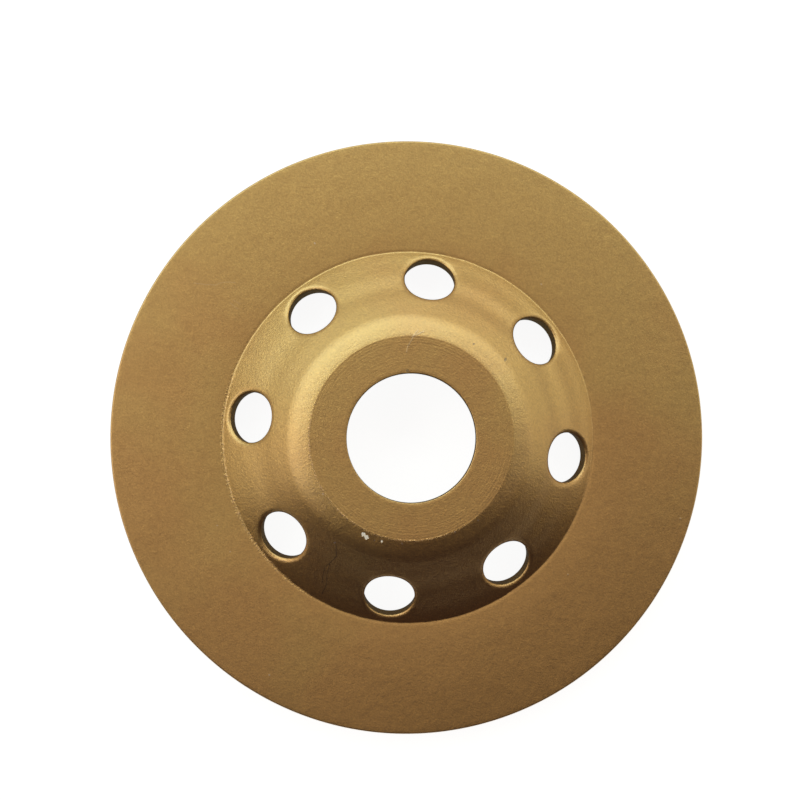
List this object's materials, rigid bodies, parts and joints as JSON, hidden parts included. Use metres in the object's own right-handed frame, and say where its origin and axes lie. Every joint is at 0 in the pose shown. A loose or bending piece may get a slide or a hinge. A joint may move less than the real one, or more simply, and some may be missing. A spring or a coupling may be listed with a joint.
{
  "type": "diamond cup grinding disc",
  "caption": "Pressed steel cup disc with a raised bored hub and vent holes, carrying curved sintered diamond segments under its flat rim for grinding stone and concrete.",
  "frame": {"origin": "centre of the grinding plane, on the bore's axis", "axes": "+Z along the bore's axis from the grinding plane towards the back of the hub, +X through the middle of one vent hole"},
  "size_m": [0.105, 0.105, 0.0162],
  "materials": {
    "gold_paint": "metallic gold paint, satin, on pressed steel",
    "diamond_matrix": "sintered metal with diamond grit, rough"
  },
  "bodies": {
    "root": {"steel_body": "gold_paint", "segment_01": "diamond_matrix", "segment_02": "diamond_matrix", "segment_03": "diamond_matrix", "segment_04": "diamond_matrix", "segment_05": "diamond_matrix", "segment_06": "diamond_matrix", "segment_07": "diamond_matrix", "segment_08": "diamond_matrix", "segment_09": "diamond_matrix", "segment_10": "diamond_matrix", "segment_11": "diamond_matrix", "segment_12": "diamond_matrix", "segment_13": "diamond_matrix", "segment_14": "diamond_matrix", "segment_15": "diamond_matrix", "segment_16": "diamond_matrix", "segment_17": "diamond_matrix", "segment_18": "diamond_matrix", "segment_19": "diamond_matrix", "segment_20": "diamond_matrix", "segment_21": "diamond_matrix", "segment_22": "diamond_matrix", "segment_23": "diamond_matrix", "segment_24": "diamond_matrix"}
  },
  "joints": []
}
